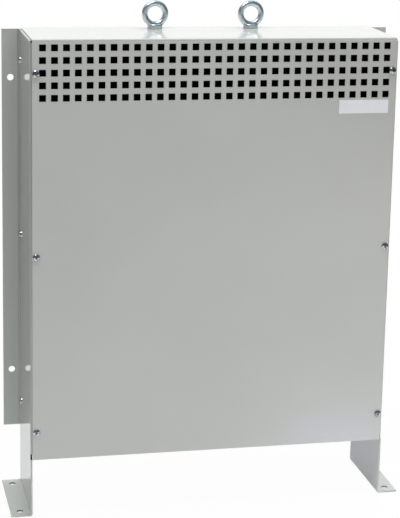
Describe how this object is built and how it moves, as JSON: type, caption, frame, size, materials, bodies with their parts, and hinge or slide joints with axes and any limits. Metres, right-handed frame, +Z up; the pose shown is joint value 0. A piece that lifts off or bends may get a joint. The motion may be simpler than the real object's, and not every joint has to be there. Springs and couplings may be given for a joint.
{
  "type": "power transformer",
  "caption": "Slim dry-type power transformer in a bent sheet-metal cabinet with a perforated front, side plates folded into legs and wall flanges, and lifting eyes on top.",
  "frame": {"origin": "floor level, middle of the overall width and depth", "axes": "+Z up, the vented front faces -Y, +X to the right seen from the front"},
  "size_m": [0.6706, 0.166, 0.843],
  "materials": {
    "cabinet_paint": "glossy light grey powder coat",
    "zinc_plate": "bright zinc plate",
    "primer_paint": "dark grey primer",
    "core_steel": "varnished laminations",
    "coil_varnish": "impregnating varnish over wrapped windings",
    "pressboard": "plain pressboard"
  },
  "bodies": {
    "root": {"side_plate_left": "cabinet_paint", "side_plate_right": "cabinet_paint", "front_top_cover": "cabinet_paint", "back_panel": "cabinet_paint", "bottom_plate": "cabinet_paint", "base_rail_front": "cabinet_paint", "base_rail_rear": "cabinet_paint", "cover_screws_left": "zinc_plate", "cover_screws_right": "zinc_plate", "back_screws_left": "zinc_plate", "back_screws_right": "zinc_plate", "eye_bolt_left": "zinc_plate", "eye_bolt_right": "zinc_plate", "lower_clamp_bolts": "zinc_plate", "upper_clamp_bolts": "zinc_plate", "lifting_bar": "primer_paint", "lower_clamp_front": "primer_paint", "lower_clamp_rear": "primer_paint", "upper_clamp_front": "primer_paint", "upper_clamp_rear": "primer_paint", "lower_yoke": "core_steel", "upper_yoke": "core_steel", "limb_left": "core_steel", "limb_middle": "core_steel", "limb_right": "core_steel", "coil_left": "coil_varnish", "coil_middle": "coil_varnish", "coil_right": "coil_varnish", "coil_blocks_lower": "pressboard", "coil_blocks_upper": "pressboard"}
  },
  "joints": []
}
